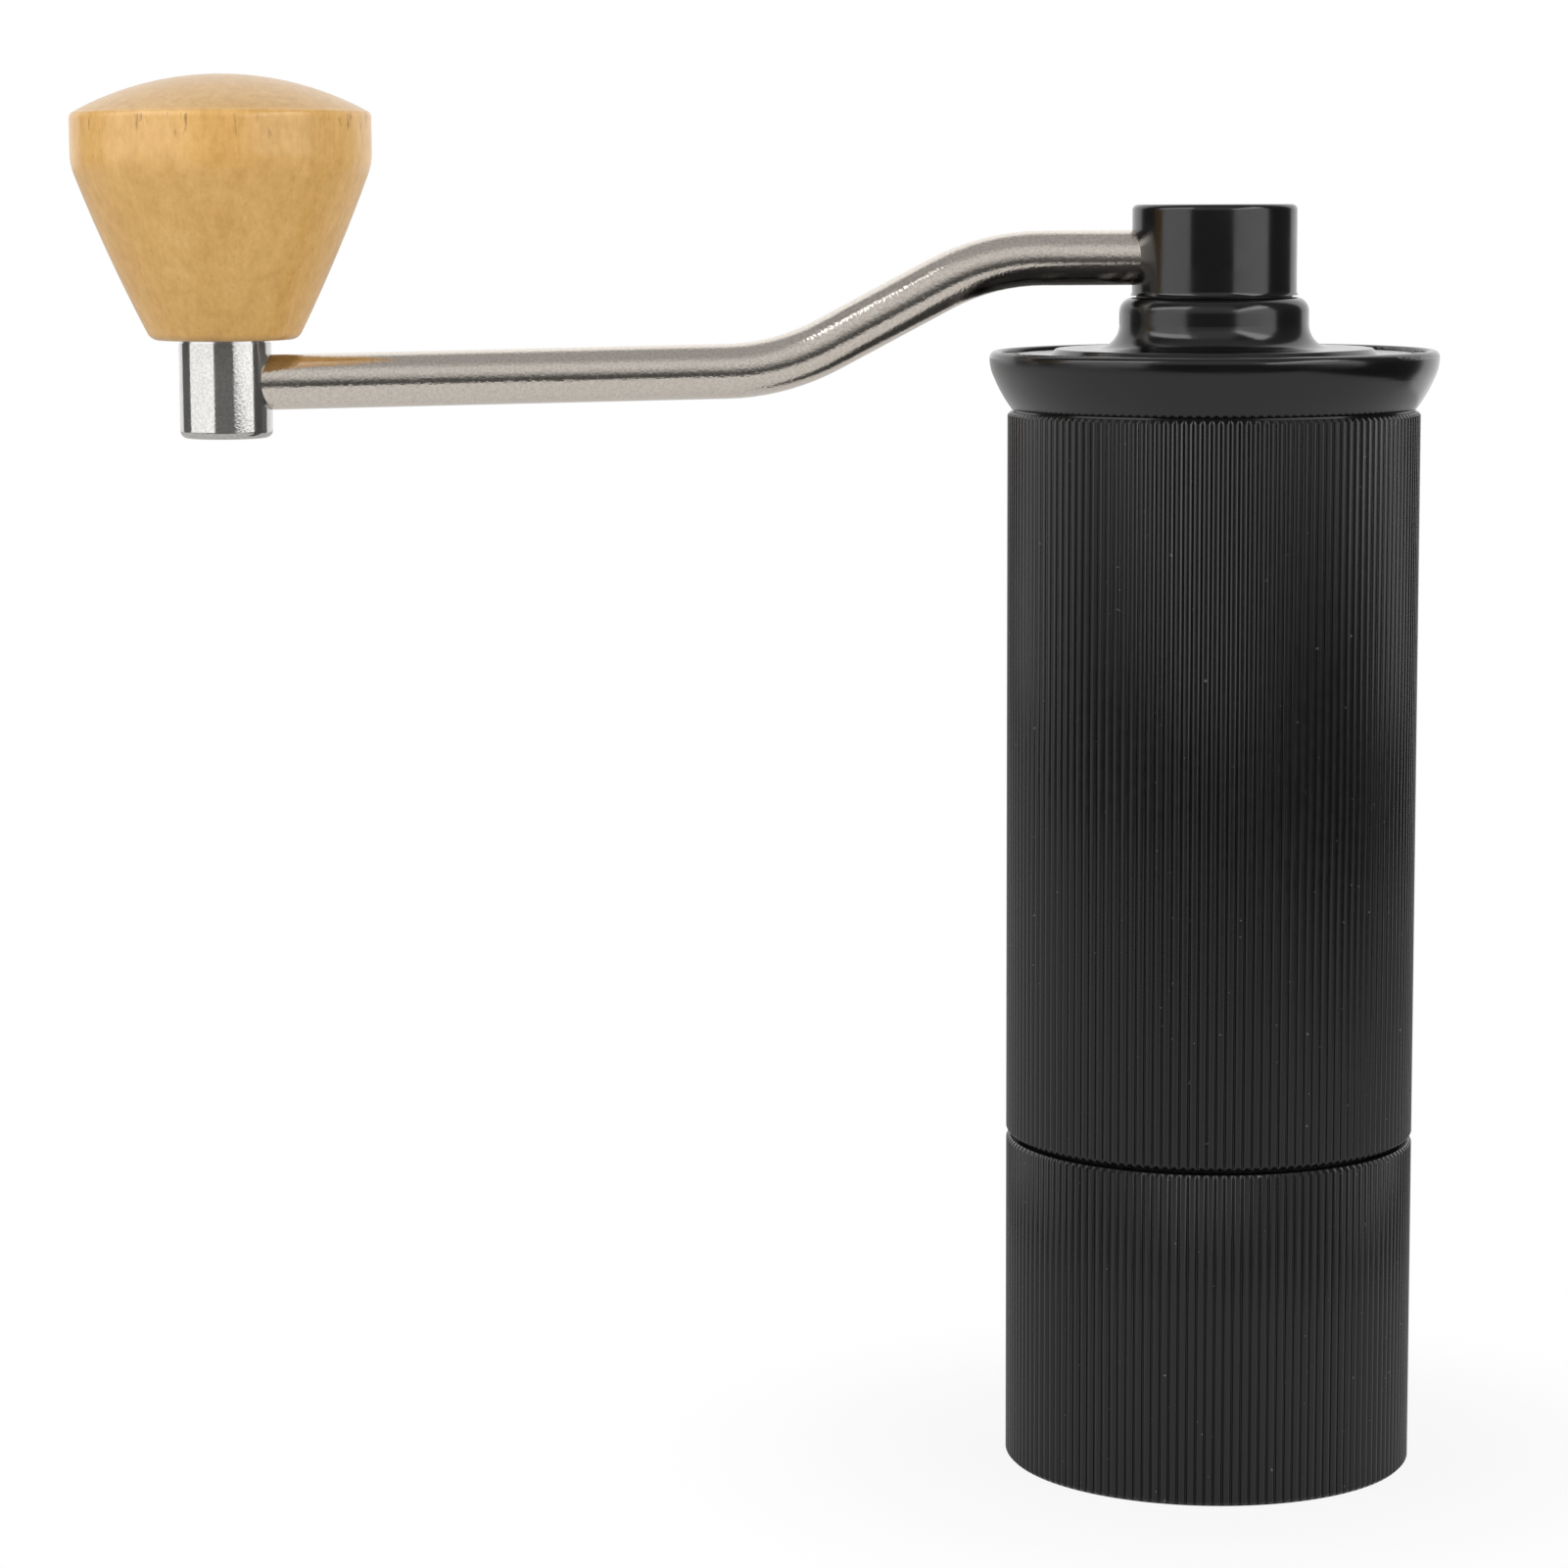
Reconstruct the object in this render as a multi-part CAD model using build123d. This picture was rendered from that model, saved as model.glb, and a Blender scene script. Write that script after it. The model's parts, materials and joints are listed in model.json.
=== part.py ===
from build123d import *
import math
import os

# Hand crank coffee grinder, in millimetres, +Z up. The origin is the centre of the cup's flat
# underside, on the grinding axis. At rest the crank arm points along -X.

# ---- Driving dimensions ---------------------------------------------------------------------

# Gaps that pieces share, and how far a cutting shape reaches past the surface it cuts.
fit_gap = 0.03
press_gap = 0.02
running_gap = 0.05
overcut = 1.0

# Ribbed body: the grounds cup below, the barrel above, and a thin shadow joint between them.
body_radius = 26.0
rib_count = 144
rib_depth = 0.3
rib_land = 0.5  # share of the pitch that the flat top of a rib takes
cup_height = 42.0
joint_gap = 0.6
barrel_foot = cup_height + joint_gap
barrel_top = 135.0

# Grounds cup, and the threaded neck of the barrel that it screws on to. Threads are left plain.
cup_floor = 2.5
cup_radius = 23.0
cup_fillet = 3.0
neck_radius = 23.5
neck_length = 7.0
thread_gap = 0.3
seal_recess = 1.6
seal_bore_gap = 0.1

# Bores of the barrel, from below: the seat of the outer burr and lower bracket, then the
# hopper, then the seat of the upper bracket, then the socket of the collar.
seat_radius = 21.8
hopper_radius = 21.0
lower_shoulder = 74.0
upper_shoulder = 114.0
collar_socket_radius = 23.5
collar_socket_depth = 6.0

# Flared collar round the bean opening.
collar_neck_radius = 25.0
collar_foot_radius = 25.41
collar_flank = (26.75, 137.3)  # where the convex outside passes, half way up
collar_shoulder = (27.76, 139.4)  # where the outside turns upright
collar_radius = 28.28
collar_widest = 141.8
collar_rim = 142.65
collar_rim_middle = 27.43
collar_rim_inner = 27.0
collar_rim_round = 0.5
collar_seat = 139.2
collar_seat_radius = 26.3
shadow_gap = 0.25

# Lid: a stepped plate with a boss above and a skirt below.
lid_radius = 25.4
lid_plate_top = 142.2
lid_step_radius = 20.6
lid_plateau_radius = 19.9
lid_plateau_top = 142.9
lid_edge_round = 0.6
lid_step_round = 0.4
boss_radius = 11.93
boss_flare = 3.0
boss_top = 149.3
boss_shoulder = 1.8
clip_recess_radius = 10.6
skirt_outer = 21.2
skirt_inner = 19.4
skirt_foot = 133.6
seal_groove_foot = 135.4
seal_groove_width = 1.4
seal_groove_depth = 0.8
seal_radius = 21.6
seal_round = 0.3
lift_gap = 0.05

# Hub of the crank, its bush and its clip.
hub_radius = 10.35
hub_foot = 149.55
hub_flare = 0.22  # how much wider its foot is
hub_flare_height = 0.3
hub_flare_round = 0.8
hub_top = 160.9
hub_round = 0.7
hub_spigot_radius = 8.0
hub_spigot_foot = 139.4
bush_outer = 9.0
bush_flange_radius = 9.8
clip_foot = 140.2
clip_thickness = 0.8
clip_groove_depth = 0.6
clip_side_gap = 0.1
clip_opening = 50  # degrees of a retaining ring that are cut away
hub_clip_radius = 9.6

# Shaft, its hexagonal end in the drive socket, and its threaded foot.
shaft_radius = 4.0
shaft_foot = 34.2
thread_core_radius = 3.9
thread_top = 44.0
flats_half_width = 3.3
flats_top = 60.5
hex_foot = 136.0
hex_top = 148.5
hex_across_flats = 7.0
hex_play = 0.15
socket_radius = 6.5
socket_top = 149.5
socket_mouth_radius = 4.8
socket_mouth_depth = 1.2
shaft_clip_radius = 5.9
shaft_clip_groove = 0.3
end_clip_radius = 6.2
end_clip_height = 0.6  # above the foot of the shaft
shaft_chamfer = 0.4

# Crank arm: a bent round bar. Points are (x, z) on the plane y = 0.
arm_radius = 3.45
arm_inner_end = 2.0
arm_height = 154.3
arm_bend_radius = 28.0
arm_upper_bend = (-28.6, arm_height)
arm_lower_bend = (-54.8, 140.5)
post_x = -124.1
post_radius = 5.75
post_foot = 132.5
post_top = 144.35
arm_end_short = 2.8  # from the post's axis to the end of the arm
arm_outer_end = (post_x + arm_end_short, 139.35)
post_round = 0.9

# Knob and what it turns on.
knob_foot = 144.7
knob_foot_radius = 9.12
knob_foot_round = 1.6
knob_cone_middle = (14.65, 156.5)  # where the slightly convex cone passes, half way up
knob_cone_top = (18.13, 165.1)
knob_radius = 18.62
knob_band_foot = 167.7
knob_band_top = 171.8
knob_shoulder = (18.56, 172.35)  # where the curve from band to ridge passes
knob_ridge = (18.35, 172.75)
knob_top = 177.5
spindle_radius = 3.0
spindle_thread_radius = 2.5
spindle_foot = 134.8
spindle_top = 166.0
spindle_groove_depth = 0.5
knob_clip_radius = 4.6
knob_bush_outer = 5.0
knob_bush_top = 163.4
knob_bore_top = 167.5
washer_radius = 5.6

# Ball bearings: 8 mm bore, 16 mm outside, 5 mm wide.
bearing_outer_radius = 8.0
bearing_width = 5.0
ball_radius = 1.2
ball_circle_radius = 6.0
ball_count = 7
ball_play = 0.03
race_shoulder = 0.68  # from the ball circle to each race
cage_half_width = 0.22
cage_half_height = 1.6
cage_pocket_play = 0.08
lower_bearing_foot = 67.5
upper_bearing_foot = 116.0

# Three-armed brackets that carry the bearings.
bracket_hub_radius = 9.8
bracket_ring_inner = 20.0
bracket_arm_width = 4.5
bracket_arm_height = 5.5
bracket_arm_overlap = 0.8  # how far an arm reaches into the ring
bracket_lip_radius = 6.9
bracket_lip = 1.5
bracket_arm_angles = (60, 180, 300)
bracket_ring_height = 7.0
snap_ring_width = 1.0
snap_ring_depth = 0.6
snap_ring_inner = 20.4
snap_ring_play = 0.1
snap_ring_opening_at = 240
snap_ring_opening = 30

# Conical burrs.
burr_ring_foot = 47.0
burr_ring_top = 66.0
burr_foot = 45.5
burr_top = 66.0
burr_band_top = 52.5
burr_foot_radius = 18.9
burr_band_radius = 16.4
burr_top_radius = 8.6
burr_gap = 0.35
fine_teeth = 36
fine_tooth_depth = 0.9
fine_twist = 8.0
vane_count = 7
vane_depth = 2.6
vane_twist = 75.0
flute_count = 9
flute_depth = 1.9
flute_twist = 40.0
spring_pocket_radius = 6.6
spring_pocket_floor = 60.0
band_relief = 0.4  # how much wider the gap gets up the band of the outer burr
mouth_radius = 18.6
mouth_relief = 0.6
burr_end_overcut = 0.01  # how far the cut sections pass the ends of the outer burr
burr_nut_foot = 43.5
burr_nut_slot = 2.5
burr_nut_slots = 4

# Burr spring, click plate and adjusting dial.
spring_radius = 5.3
spring_wire = 0.9
spring_turns = 4
spring_washer_thickness = 0.6
spring_washer_radius = 6.0
click_plate_radius = 12.0
click_plate_foot = 43.8
click_count = 12
click_circle_radius = 9.0
click_hole_radius = 0.6
click_hole_depth = 0.5
click_pocket_depth = 1.6
click_bore_gap = 0.4
dial_radius = 13.5
dial_top = 43.3
dial_foot = 38.0
dial_notch_count = 24
dial_notch_radius = 0.9
click_ball_radius = 0.9


# ---- Shared shapes --------------------------------------------------------------------------

def turned(outline, rounds=()):
    """Solid of revolution about Z. outline holds (radius, height) corners; rounds holds
    (corner number, radius) pairs for the corners that are rounded."""
    face = make_face(Polyline(*outline, close=True))
    for corner, radius in rounds:
        target = Vector(*outline[corner], 0)
        face = fillet(face.vertices().sort_by_distance(target)[0], radius)
    return revolve(Plane.XZ * face, Axis.Z)


def tube(outer, inner, foot, top):
    """Plain ring between two heights."""
    return turned([(inner, foot), (outer, foot), (outer, top), (inner, top)])


def rod(radius, foot, top):
    """Plain upright cylinder between two heights."""
    return Pos(0, 0, foot) * Cylinder(radius, top - foot, align=(Align.CENTER, Align.CENTER, Align.MIN))


def polar(radius, degrees):
    """Point at a radius and an angle from +X."""
    return radius * math.cos(math.radians(degrees)), radius * math.sin(math.radians(degrees))


def ribbed_face():
    """Section of the ribbed body: flat-topped ribs with V grooves between them."""
    pitch = 360 / rib_count
    points = []
    for rib in range(rib_count):
        points.append(polar(body_radius, (rib - rib_land / 2) * pitch))
        points.append(polar(body_radius, (rib + rib_land / 2) * pitch))
        points.append(polar(body_radius - rib_depth, (rib + 0.5) * pitch))
    return make_face(Polyline(*points, close=True))


def ribbed_rod(foot, top):
    """Upright solid with the ribbed section."""
    return Pos(0, 0, foot) * extrude(ribbed_face(), top - foot)


def snap_ring(inner, outer, foot, top, opening_at=0, opening=clip_opening):
    """Retaining ring: a flat ring with a gap in it. Angles are in degrees."""
    ring = tube(outer, inner, foot, top)
    corners = [(0, 0), polar(2 * outer, opening_at - opening / 2), polar(2 * outer, opening_at + opening / 2)]
    wedge = make_face(Polyline(*corners, close=True))
    return ring - Pos(0, 0, foot) * extrude(wedge, top - foot)


def flatted_rod(radius, half_width, foot, top):
    """Round bar with two flats, facing +Y and -Y."""
    flats = Pos(0, 0, foot) * Box(3 * radius, 2 * half_width, top - foot,
                                  align=(Align.CENTER, Align.CENTER, Align.MIN))
    return rod(radius, foot, top) & flats


def hexagon_rod(across_flats, foot, top):
    """Hexagonal bar with flats facing +X and -X."""
    section = RegularPolygon(across_flats / 2, 6, major_radius=False)
    return Pos(0, 0, foot) * extrude(section, top - foot)


def toothed_ring(height, tip, root, teeth, turn, shape):
    """Points of a toothed section. shape holds (share of the pitch, 0 at root to 1 at tip)."""
    pitch = 360 / teeth
    points = []
    for tooth in range(teeth):
        for share, level in shape:
            x, y = polar(root + level * (tip - root), turn + (tooth + share) * pitch)
            points.append((x, y, height))
    return points


def skinned(rings):
    """Solid through matching rings of points, with flat triangles between neighbours."""
    faces = [Face(Wire.make_polygon(rings[0])), Face(Wire.make_polygon(rings[-1]))]
    for low, high in zip(rings, rings[1:]):
        for here in range(len(low)):
            after = (here + 1) % len(low)
            faces.append(Face(Wire.make_polygon([low[here], low[after], high[after]])))
            faces.append(Face(Wire.make_polygon([low[here], high[after], high[here]])))
    return Solid(Shell(faces))


def blend_between(start, end, share):
    """Value a share of the way from start to end."""
    return start + (end - start) * share


# ---- Body -----------------------------------------------------------------------------------

def make_grounds_cup():
    """Ribbed cup: a round-cornered cavity with a wider threaded mouth."""
    mouth = neck_radius + thread_gap
    mouth_foot = cup_height - neck_length - thread_gap
    cavity = turned([(0, cup_floor), (cup_radius, cup_floor), (cup_radius, mouth_foot),
                     (mouth, mouth_foot), (mouth, cup_height + overcut), (0, cup_height + overcut)],
                    [(1, cup_fillet)])
    return ribbed_rod(0, cup_height) - cavity


def make_cup_seal():
    """Flat ring that fills the joint between cup and barrel, set back from the outside."""
    return tube(body_radius - seal_recess, neck_radius + seal_bore_gap,
                cup_height + fit_gap, barrel_foot - lift_gap)


def make_barrel():
    """Ribbed tube with a neck below and stepped bores inside."""
    blank = ribbed_rod(barrel_foot, barrel_top) + rod(neck_radius, barrel_foot - neck_length, barrel_foot)
    low = barrel_foot - neck_length - overcut
    groove_foot = upper_shoulder + bracket_ring_height
    groove_top = groove_foot + snap_ring_width
    socket = barrel_top - collar_socket_depth
    bore = turned([
        (0, low), (seat_radius, low), (seat_radius, lower_shoulder), (hopper_radius, lower_shoulder),
        (hopper_radius, upper_shoulder), (seat_radius, upper_shoulder), (seat_radius, groove_foot),
        (seat_radius + snap_ring_depth, groove_foot), (seat_radius + snap_ring_depth, groove_top),
        (seat_radius, groove_top), (seat_radius, socket), (collar_socket_radius, socket),
        (collar_socket_radius, barrel_top + overcut), (0, barrel_top + overcut)])
    return blank - bore


def make_hopper_collar():
    """Flared ring: a skirt in the barrel, a convex outside, a rounded rim and a seat for the lid."""
    skirt = collar_socket_radius - fit_gap
    foot = barrel_top + shadow_gap
    widest = (collar_radius, collar_widest)
    rim_middle = (collar_rim_middle, collar_rim)
    rim_inner = (collar_rim_inner, collar_rim - collar_rim_round)
    outline = [
        Polyline((collar_seat_radius, collar_seat), (seat_radius, collar_seat),
                 (seat_radius, barrel_top - collar_socket_depth), (skirt, barrel_top - collar_socket_depth),
                 (skirt, barrel_top), (collar_neck_radius, barrel_top), (collar_neck_radius, foot),
                 (collar_foot_radius, foot)),
        ThreePointArc((collar_foot_radius, foot), collar_flank, collar_shoulder),
        TangentArc(widest, collar_shoulder, tangent=(0, -1)),
        TangentArc(widest, rim_middle, tangent=(0, 1)),
        TangentArc(rim_middle, rim_inner, tangent=(-1, 0)),
        Line(rim_inner, (collar_seat_radius, collar_seat)),
    ]
    return revolve(Plane.XZ * make_face(Curve() + outline), Axis.Z)


# ---- Lid and hub ----------------------------------------------------------------------------

def make_lid():
    """Stepped plate with a flared boss above, a grooved skirt below and a bore for the bush."""
    underside = collar_seat + lift_gap
    recess_top = clip_foot + clip_thickness + clip_side_gap
    groove_top = seal_groove_foot + seal_groove_width
    groove_radius = skirt_outer - seal_groove_depth
    outline = [
        (bush_outer + fit_gap, recess_top), (clip_recess_radius, recess_top),
        (clip_recess_radius, underside), (skirt_inner, underside), (skirt_inner, skirt_foot),
        (skirt_outer, skirt_foot), (skirt_outer, seal_groove_foot), (groove_radius, seal_groove_foot),
        (groove_radius, groove_top), (skirt_outer, groove_top), (skirt_outer, underside),
        (lid_radius, underside), (lid_radius, lid_plate_top), (lid_step_radius, lid_plate_top),
        (lid_plateau_radius, lid_plateau_top), (boss_radius, lid_plateau_top), (boss_radius, boss_top),
        (bush_outer + fit_gap, boss_top)]
    return turned(outline, [(12, lid_edge_round), (14, lid_step_round), (15, boss_flare),
                            (16, boss_shoulder)])


def make_lid_seal():
    """Soft ring in the groove of the lid's skirt."""
    inner = skirt_outer - seal_groove_depth
    top = seal_groove_foot + seal_groove_width
    outline = [(inner, seal_groove_foot), (seal_radius, seal_groove_foot), (seal_radius, top), (inner, top)]
    return turned(outline, [(1, seal_round), (2, seal_round)])


def make_lid_bush():
    """Flanged sleeve pressed into the boss; the hub turns in it."""
    inner = hub_spigot_radius + running_gap
    foot = clip_foot + clip_thickness + clip_side_gap
    flange_top = hub_foot - running_gap
    return turned([(inner, foot), (bush_outer, foot), (bush_outer, boss_top),
                   (bush_flange_radius, boss_top), (bush_flange_radius, flange_top), (inner, flange_top)])


def make_crank_hub():
    """Turned hub with a spigot through the lid, a bore for the drive socket and one for the arm."""
    groove_radius = hub_spigot_radius - clip_groove_depth
    groove_foot = clip_foot - clip_side_gap / 2
    groove_top = clip_foot + clip_thickness + clip_side_gap / 2
    body = turned([
        (socket_radius, hub_spigot_foot), (hub_spigot_radius, hub_spigot_foot),
        (hub_spigot_radius, groove_foot), (groove_radius, groove_foot),
        (groove_radius, groove_top), (hub_spigot_radius, groove_top), (hub_spigot_radius, hub_foot),
        (hub_radius + hub_flare, hub_foot), (hub_radius, hub_foot + hub_flare_height),
        (hub_radius, hub_top), (0, hub_top),
        (0, socket_top), (socket_radius, socket_top)],
        [(8, hub_flare_round), (9, hub_round)])
    bore_length = hub_radius + arm_inner_end + overcut
    arm_bore = Pos(arm_inner_end, 0, arm_height) * Rot(0, -90, 0) * Cylinder(
        arm_radius + press_gap, bore_length, align=(Align.CENTER, Align.CENTER, Align.MIN))
    return body - arm_bore


def make_hub_clip():
    """Retaining ring that holds the lid on the hub's spigot."""
    inner = hub_spigot_radius - clip_groove_depth + running_gap
    return snap_ring(inner, hub_clip_radius, clip_foot, clip_foot + clip_thickness, opening_at=90)


def make_drive_socket():
    """Steel insert with a hexagonal socket."""
    hexagon = hexagon_rod(hex_across_flats + hex_play, hub_spigot_foot - overcut, socket_top + overcut)
    mouth_top = hub_spigot_foot + socket_mouth_depth
    mouth = turned([(0, hub_spigot_foot - overcut), (socket_mouth_radius, hub_spigot_foot - overcut),
                    (socket_mouth_radius, hub_spigot_foot), (hex_across_flats / 2, mouth_top),
                    (0, mouth_top)])
    return rod(socket_radius - fit_gap, hub_spigot_foot, socket_top) - hexagon - mouth


# ---- Crank and knob -------------------------------------------------------------------------

def make_crank_arm():
    """Round bar along straight runs joined by two bends."""
    corners = [(arm_inner_end, 0, arm_height), (arm_upper_bend[0], 0, arm_upper_bend[1]),
               (arm_lower_bend[0], 0, arm_lower_bend[1]), (arm_outer_end[0], 0, arm_outer_end[1])]
    path = FilletPolyline(*corners, radius=arm_bend_radius)
    section = Plane(origin=corners[0], z_dir=(-1, 0, 0)) * Circle(arm_radius)
    return sweep(section, path=path)


def arm_end_rod(radius, length):
    """Straight bar along the outer run of the arm, measured back from its end."""
    run = Vector(arm_lower_bend[0] - arm_outer_end[0], 0, arm_lower_bend[1] - arm_outer_end[1])
    start = Vector(arm_outer_end[0], 0, arm_outer_end[1])
    plane = Plane(origin=start, z_dir=run)
    return plane * Cylinder(radius, length, align=(Align.CENTER, Align.CENTER, Align.MIN))


def make_crank_post():
    """Steel post with a bore for the arm in its side and a threaded hole in its top."""
    blank = turned([(0, post_foot), (post_radius, post_foot), (post_radius, post_top), (0, post_top)])
    blank = fillet(blank.edges().group_by(Axis.Z)[0], post_round)
    hole = rod(spindle_thread_radius + press_gap, spindle_foot, post_top + overcut)
    post = Pos(post_x, 0, 0) * (blank - hole)
    return post - arm_end_rod(arm_radius + press_gap, 2 * post_radius)


def make_knob_washer():
    """Thrust washer between post and knob."""
    return Pos(post_x, 0, 0) * tube(washer_radius, spindle_radius + running_gap, post_top,
                                    knob_foot - running_gap)


def make_knob_spindle():
    """Shoulder bolt that the knob turns on."""
    groove_foot = knob_bush_top + clip_side_gap
    groove_top = groove_foot + clip_thickness + clip_side_gap
    groove_radius = spindle_radius - spindle_groove_depth
    return Pos(post_x, 0, 0) * turned([
        (0, spindle_foot), (spindle_thread_radius, spindle_foot), (spindle_thread_radius, post_top),
        (spindle_radius, post_top), (spindle_radius, groove_foot), (groove_radius, groove_foot),
        (groove_radius, groove_top), (spindle_radius, groove_top), (spindle_radius, spindle_top),
        (0, spindle_top)])


def make_knob_bush():
    """Sleeve in the knob's bore."""
    return Pos(post_x, 0, 0) * tube(knob_bush_outer - fit_gap, spindle_radius + running_gap,
                                    knob_foot, knob_bush_top)


def make_knob_clip():
    """Retaining ring at the top of the spindle."""
    foot = knob_bush_top + clip_side_gap + clip_side_gap / 2
    inner = spindle_radius - spindle_groove_depth + running_gap
    return Pos(post_x, 0, 0) * snap_ring(inner, knob_clip_radius, foot, foot + clip_thickness)


def make_knob():
    """Turned wooden knob: a cone, a short band and a shallow dome, with a blind bore below."""
    dome_rise = knob_top - knob_ridge[1]
    dome_radius = (knob_ridge[0] ** 2 + dome_rise ** 2) / (2 * dome_rise)
    half_way = knob_ridge[0] / 2
    half_height = knob_top - dome_radius + math.sqrt(dome_radius ** 2 - half_way ** 2)
    foot_edge = (knob_foot_radius, knob_foot)
    band_foot = (knob_radius, knob_band_foot)
    band_top = (knob_radius, knob_band_top)
    outline = [
        Polyline((0, knob_top), (0, knob_bore_top), (knob_bush_outer, knob_bore_top),
                 (knob_bush_outer, knob_foot), foot_edge),
        ThreePointArc(foot_edge, knob_cone_middle, knob_cone_top),
        TangentArc(band_foot, knob_cone_top, tangent=(0, -1)),
        Line(band_foot, band_top),
        ThreePointArc(band_top, knob_shoulder, knob_ridge),
        ThreePointArc(knob_ridge, (half_way, half_height), (0, knob_top)),
    ]
    face = make_face(Curve() + outline)
    corner = face.vertices().sort_by_distance(Vector(*foot_edge, 0))[0]
    return Pos(post_x, 0, 0) * revolve(Plane.XZ * fillet(corner, knob_foot_round), Axis.Z)


# ---- Shaft and bearings ---------------------------------------------------------------------

def make_drive_shaft():
    """Round shaft with a hexagonal top, two flats for the burr and a threaded foot."""
    groove = tube(shaft_radius + overcut, shaft_radius - shaft_clip_groove, 0, clip_thickness)
    shaft = rod(thread_core_radius, shaft_foot, thread_top)
    shaft += flatted_rod(shaft_radius, flats_half_width, thread_top, flats_top)
    shaft += rod(shaft_radius, flats_top, hex_foot)
    shaft += rod(shaft_radius, hex_foot, hex_top) & hexagon_rod(hex_across_flats, hex_foot, hex_top)
    for foot in clip_heights():
        shaft -= Pos(0, 0, foot) * groove
    return chamfer(shaft.edges().group_by(Axis.Z)[0], shaft_chamfer)


def clip_heights():
    """Undersides of the three clips on the shaft: one above each bearing, one below the upper."""
    return (lower_bearing_foot + bearing_width, upper_bearing_foot - clip_thickness,
            upper_bearing_foot + bearing_width)


def make_shaft_clips():
    """Retaining rings that hold the inner races in place."""
    ring = snap_ring(shaft_radius - shaft_clip_groove + fit_gap, shaft_clip_radius, 0, clip_thickness)
    return Part() + [Pos(0, 0, foot) * ring for foot in clip_heights()]


def make_shaft_end_clip():
    """Retaining ring that keeps the dial on the shaft."""
    foot = shaft_foot + end_clip_height
    return snap_ring(thread_core_radius + fit_gap, end_clip_radius, foot, foot + clip_thickness)


def race(inner, outer, foot):
    """Bearing race with the ball groove cut in it."""
    middle = foot + bearing_width / 2
    groove = revolve(Plane.XZ * (Pos(ball_circle_radius, middle) * Circle(ball_radius + ball_play)), Axis.Z)
    return tube(outer, inner, foot, foot + bearing_width) - groove


def make_outer_race(foot):
    """Outer race, pressed into a bracket."""
    return race(ball_circle_radius + race_shoulder, bearing_outer_radius - press_gap, foot)


def make_inner_race(foot):
    """Inner race, on the shaft."""
    return race(shaft_radius + press_gap, ball_circle_radius - race_shoulder, foot)


def make_balls(foot):
    """The balls of one bearing."""
    middle = foot + bearing_width / 2
    return Part() + [Pos(*polar(ball_circle_radius, 360 * ball / ball_count), middle) * Sphere(ball_radius)
                     for ball in range(ball_count)]


def make_cage(foot):
    """Ring that spaces the balls, with a round pocket for each."""
    middle = foot + bearing_width / 2
    ring = tube(ball_circle_radius + cage_half_width, ball_circle_radius - cage_half_width,
                middle - cage_half_height, middle + cage_half_height)
    for ball in range(ball_count):
        direction = 360 * ball / ball_count
        pocket = Rot(0, 0, direction) * Pos(ball_circle_radius, 0, middle) * Rot(0, 90, 0) * Cylinder(
            ball_radius + cage_pocket_play, 2 * ball_radius)
        ring -= pocket
    return ring


def bracket(ring_foot, ring_top, hub_foot_z, hub_top_z, pocket_foot, pocket_top):
    """Three-armed spider: an outer ring, a hub with a bearing pocket, and arms between them."""
    outer = seat_radius - fit_gap
    ring = tube(outer, bracket_ring_inner, ring_foot, ring_top)
    hub = rod(bracket_hub_radius, hub_foot_z, hub_top_z)
    arm_length = bracket_ring_inner + bracket_arm_overlap
    arm = Pos(arm_length / 2, 0, hub_foot_z) * Box(arm_length, bracket_arm_width, bracket_arm_height,
                                                   align=(Align.CENTER, Align.CENTER, Align.MIN))
    spider = ring + hub + [Rot(0, 0, angle) * arm for angle in bracket_arm_angles]
    spider -= rod(bracket_lip_radius, hub_foot_z - overcut, hub_top_z + overcut)
    return spider - rod(bearing_outer_radius, pocket_foot, pocket_top)


def make_lower_bracket():
    """Spider above the burrs; its bearing goes in from below."""
    hub_top_z = lower_bearing_foot + bearing_width + bracket_lip
    return bracket(burr_ring_top, lower_shoulder, lower_bearing_foot, hub_top_z,
                   lower_bearing_foot - overcut, lower_bearing_foot + bearing_width)


def make_upper_bracket():
    """Spider near the top of the hopper; its bearing goes in from above."""
    hub_foot_z = upper_bearing_foot - bracket_lip
    bearing_top = upper_bearing_foot + bearing_width
    return bracket(upper_shoulder, upper_shoulder + bracket_ring_height, hub_foot_z, bearing_top,
                   upper_bearing_foot, bearing_top + overcut)


def make_bracket_ring():
    """Snap ring above the upper spider."""
    foot = upper_shoulder + bracket_ring_height
    return snap_ring(snap_ring_inner, seat_radius + snap_ring_depth - snap_ring_play, foot + fit_gap,
                     foot + snap_ring_width - fit_gap, snap_ring_opening_at, snap_ring_opening)


# ---- Burrs and adjuster ---------------------------------------------------------------------

# Tooth sections: (share of the pitch, 0 at the root to 1 at the tip).
fine_tooth_shape = ((0.0, 1), (0.15, 1), (0.6, 0))
vane_shape = ((0.0, 1), (0.16, 1), (0.42, 0.08), (0.7, 0), (0.92, 0.12))
flute_shape = ((0.0, 0), (0.2, 0), (0.5, 1), (0.8, 1))
# Sections that each toothed band is skinned through.
band_shares = (0, 0.5, 1)
vane_steps = 8
flute_steps = 6


def burr_radius(height):
    """Tip radius of the inner burr at a height."""
    if height <= burr_band_top:
        share = (height - burr_foot) / (burr_band_top - burr_foot)
        return blend_between(burr_foot_radius, burr_band_radius, share)
    share = (height - burr_band_top) / (burr_top - burr_band_top)
    return blend_between(burr_band_radius, burr_top_radius, share)


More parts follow.
